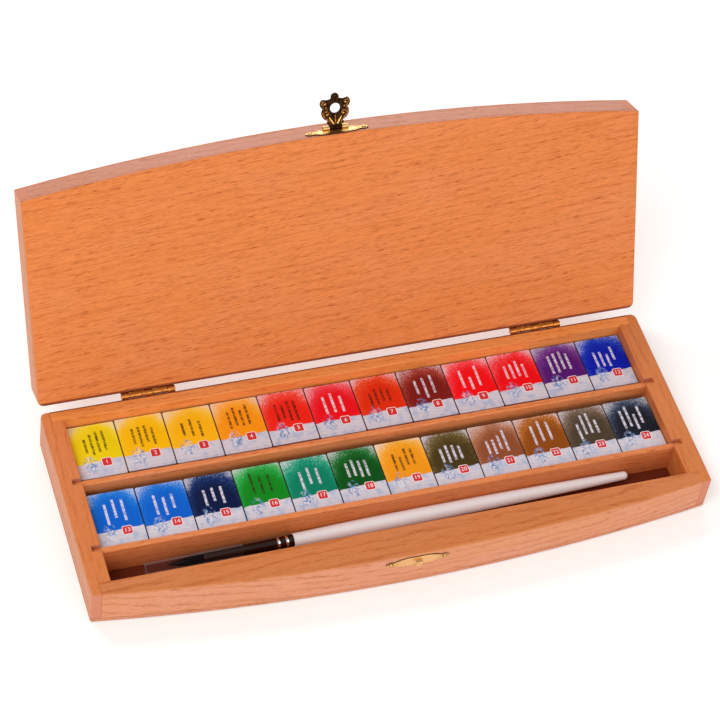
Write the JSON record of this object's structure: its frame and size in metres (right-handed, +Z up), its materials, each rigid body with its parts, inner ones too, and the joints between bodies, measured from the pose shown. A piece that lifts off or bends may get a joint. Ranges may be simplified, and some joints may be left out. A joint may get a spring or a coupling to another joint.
{
  "type": "watercolour box",
  "caption": "Flat wooden watercolour box with a bowed front, a hinged lid with a hasp, two rows of wrapped pans and a round brush in a front compartment.",
  "frame": {"origin": "centre of the rectangle between the tray's two ends, its back face and its front corners, on the tray's underside", "axes": "+X along the box to its right end, +Y to the back where the hinges are, +Z up; the bowed front faces -Y"},
  "size_m": [0.3, 0.1815, 0.1426],
  "materials": {
    "tray_wood": "clear satin varnish on beech",
    "lid_wood": "clear satin varnish on beech",
    "floor_wood": "clear satin varnish on beech",
    "divider_wood": "clear satin varnish on beech",
    "hinge_brass": "tumbled brass plate",
    "plate_brass": "brushed and lacquered brass plate",
    "aged_brass": "stamped, blackened and rubbed brass",
    "nail_brass": "bright brass plate",
    "white_lacquer": "gloss lacquer on turned wood",
    "ferrule_metal": "polished nickel plate",
    "black_hair": "soft dark hair",
    "clear_tube": "thin clear plastic tube",
    "label_01": "coated paper wrapper, colour wash over a pale band",
    "label_02": "coated paper wrapper, colour wash over a pale band",
    "label_03": "coated paper wrapper, colour wash over a pale band",
    "label_04": "coated paper wrapper, colour wash over a pale band",
    "label_05": "coated paper wrapper, colour wash over a pale band",
    "label_06": "coated paper wrapper, colour wash over a pale band",
    "label_07": "coated paper wrapper, colour wash over a pale band",
    "label_08": "coated paper wrapper, colour wash over a pale band",
    "label_09": "coated paper wrapper, colour wash over a pale band",
    "label_10": "coated paper wrapper, colour wash over a pale band",
    "label_11": "coated paper wrapper, colour wash over a pale band",
    "label_12": "coated paper wrapper, colour wash over a pale band",
    "label_13": "coated paper wrapper, colour wash over a pale band",
    "label_14": "coated paper wrapper, colour wash over a pale band",
    "label_15": "coated paper wrapper, colour wash over a pale band",
    "label_16": "coated paper wrapper, colour wash over a pale band",
    "label_17": "coated paper wrapper, colour wash over a pale band",
    "label_18": "coated paper wrapper, colour wash over a pale band",
    "label_19": "coated paper wrapper, colour wash over a pale band",
    "label_20": "coated paper wrapper, colour wash over a pale band",
    "label_21": "coated paper wrapper, colour wash over a pale band",
    "label_22": "coated paper wrapper, colour wash over a pale band",
    "label_23": "coated paper wrapper, colour wash over a pale band",
    "label_24": "coated paper wrapper, colour wash over a pale band"
  },
  "bodies": {
    "tray": {"catch_plate": "plate_brass", "catch_plate_nails": "nail_brass", "front_divider": "divider_wood", "hinge_nails_tray": "nail_brass", "left_hinge_pin": "hinge_brass", "left_hinge_tray_leaf": "hinge_brass", "rear_divider": "divider_wood", "right_hinge_pin": "hinge_brass", "right_hinge_tray_leaf": "hinge_brass", "tray_back_board": "tray_wood", "tray_bottom_panel": "floor_wood", "tray_front_board": "tray_wood", "tray_left_board": "tray_wood", "tray_right_board": "tray_wood"},
    "lid": {"hasp_pin": "nail_brass", "hinge_nails_lid": "nail_brass", "latch_plate": "plate_brass", "latch_plate_nails": "nail_brass", "left_hinge_lid_leaf": "hinge_brass", "lid_back_rail": "lid_wood", "lid_front_rail": "lid_wood", "lid_inner_panel": "lid_wood", "lid_left_rail": "lid_wood", "lid_outer_panel": "lid_wood", "lid_right_rail": "lid_wood", "right_hinge_lid_leaf": "hinge_brass"},
    "hasp": {"hasp": "aged_brass"},
    "brush": {"brush_handle": "white_lacquer", "brush_ferrule": "ferrule_metal", "brush_hair": "black_hair"},
    "sleeve": {"brush_sleeve": "clear_tube"},
    "pan_01": {"pan_01": "label_01"},
    "pan_02": {"pan_02": "label_02"},
    "pan_03": {"pan_03": "label_03"},
    "pan_04": {"pan_04": "label_04"},
    "pan_05": {"pan_05": "label_05"},
    "pan_06": {"pan_06": "label_06"},
    "pan_07": {"pan_07": "label_07"},
    "pan_08": {"pan_08": "label_08"},
    "pan_09": {"pan_09": "label_09"},
    "pan_10": {"pan_10": "label_10"},
    "pan_11": {"pan_11": "label_11"},
    "pan_12": {"pan_12": "label_12"},
    "pan_13": {"pan_13": "label_13"},
    "pan_14": {"pan_14": "label_14"},
    "pan_15": {"pan_15": "label_15"},
    "pan_16": {"pan_16": "label_16"},
    "pan_17": {"pan_17": "label_17"},
    "pan_18": {"pan_18": "label_18"},
    "pan_19": {"pan_19": "label_19"},
    "pan_20": {"pan_20": "label_20"},
    "pan_21": {"pan_21": "label_21"},
    "pan_22": {"pan_22": "label_22"},
    "pan_23": {"pan_23": "label_23"},
    "pan_24": {"pan_24": "label_24"}
  },
  "joints": [
    {"name": "lid_hinge", "type": "hinge", "parent": "tray", "child": "lid", "pos_m": [0, 0.054, 0.02115], "axis": [-1, 0, 0], "range_deg": [-114, 0]},
    {"name": "hasp_hinge", "type": "hinge", "parent": "lid", "child": "hasp", "pos_m": [0, 0.10748, 0.12689], "axis": [-1, 0, 0], "range_deg": [-90, 88]},
    {"name": "brush_lift", "type": "slide", "parent": "tray", "child": "brush", "axis": [0, 0, 1], "range_m": [0, 0.03]},
    {"name": "sleeve_slide", "type": "slide", "parent": "brush", "child": "sleeve", "axis": [-1, -0.0079, -0.0052], "range_m": [0, 0.018]},
    {"name": "pan_01_lift", "type": "slide", "parent": "tray", "child": "pan_01", "axis": [0, 0, 1], "range_m": [0, 0.03]},
    {"name": "pan_02_lift", "type": "slide", "parent": "tray", "child": "pan_02", "axis": [0, 0, 1], "range_m": [0, 0.03]},
    {"name": "pan_03_lift", "type": "slide", "parent": "tray", "child": "pan_03", "axis": [0, 0, 1], "range_m": [0, 0.03]},
    {"name": "pan_04_lift", "type": "slide", "parent": "tray", "child": "pan_04", "axis": [0, 0, 1], "range_m": [0, 0.03]},
    {"name": "pan_05_lift", "type": "slide", "parent": "tray", "child": "pan_05", "axis": [0, 0, 1], "range_m": [0, 0.03]},
    {"name": "pan_06_lift", "type": "slide", "parent": "tray", "child": "pan_06", "axis": [0, 0, 1], "range_m": [0, 0.03]},
    {"name": "pan_07_lift", "type": "slide", "parent": "tray", "child": "pan_07", "axis": [0, 0, 1], "range_m": [0, 0.03]},
    {"name": "pan_08_lift", "type": "slide", "parent": "tray", "child": "pan_08", "axis": [0, 0, 1], "range_m": [0, 0.03]},
    {"name": "pan_09_lift", "type": "slide", "parent": "tray", "child": "pan_09", "axis": [0, 0, 1], "range_m": [0, 0.03]},
    {"name": "pan_10_lift", "type": "slide", "parent": "tray", "child": "pan_10", "axis": [0, 0, 1], "range_m": [0, 0.03]},
    {"name": "pan_11_lift", "type": "slide", "parent": "tray", "child": "pan_11", "axis": [0, 0, 1], "range_m": [0, 0.03]},
    {"name": "pan_12_lift", "type": "slide", "parent": "tray", "child": "pan_12", "axis": [0, 0, 1], "range_m": [0, 0.03]},
    {"name": "pan_13_lift", "type": "slide", "parent": "tray", "child": "pan_13", "axis": [0, 0, 1], "range_m": [0, 0.03]},
    {"name": "pan_14_lift", "type": "slide", "parent": "tray", "child": "pan_14", "axis": [0, 0, 1], "range_m": [0, 0.03]},
    {"name": "pan_15_lift", "type": "slide", "parent": "tray", "child": "pan_15", "axis": [0, 0, 1], "range_m": [0, 0.03]},
    {"name": "pan_16_lift", "type": "slide", "parent": "tray", "child": "pan_16", "axis": [0, 0, 1], "range_m": [0, 0.03]},
    {"name": "pan_17_lift", "type": "slide", "parent": "tray", "child": "pan_17", "axis": [0, 0, 1], "range_m": [0, 0.03]},
    {"name": "pan_18_lift", "type": "slide", "parent": "tray", "child": "pan_18", "axis": [0, 0, 1], "range_m": [0, 0.03]},
    {"name": "pan_19_lift", "type": "slide", "parent": "tray", "child": "pan_19", "axis": [0, 0, 1], "range_m": [0, 0.03]},
    {"name": "pan_20_lift", "type": "slide", "parent": "tray", "child": "pan_20", "axis": [0, 0, 1], "range_m": [0, 0.03]},
    {"name": "pan_21_lift", "type": "slide", "parent": "tray", "child": "pan_21", "axis": [0, 0, 1], "range_m": [0, 0.03]},
    {"name": "pan_22_lift", "type": "slide", "parent": "tray", "child": "pan_22", "axis": [0, 0, 1], "range_m": [0, 0.03]},
    {"name": "pan_23_lift", "type": "slide", "parent": "tray", "child": "pan_23", "axis": [0, 0, 1], "range_m": [0, 0.03]},
    {"name": "pan_24_lift", "type": "slide", "parent": "tray", "child": "pan_24", "axis": [0, 0, 1], "range_m": [0, 0.03]}
  ]
}
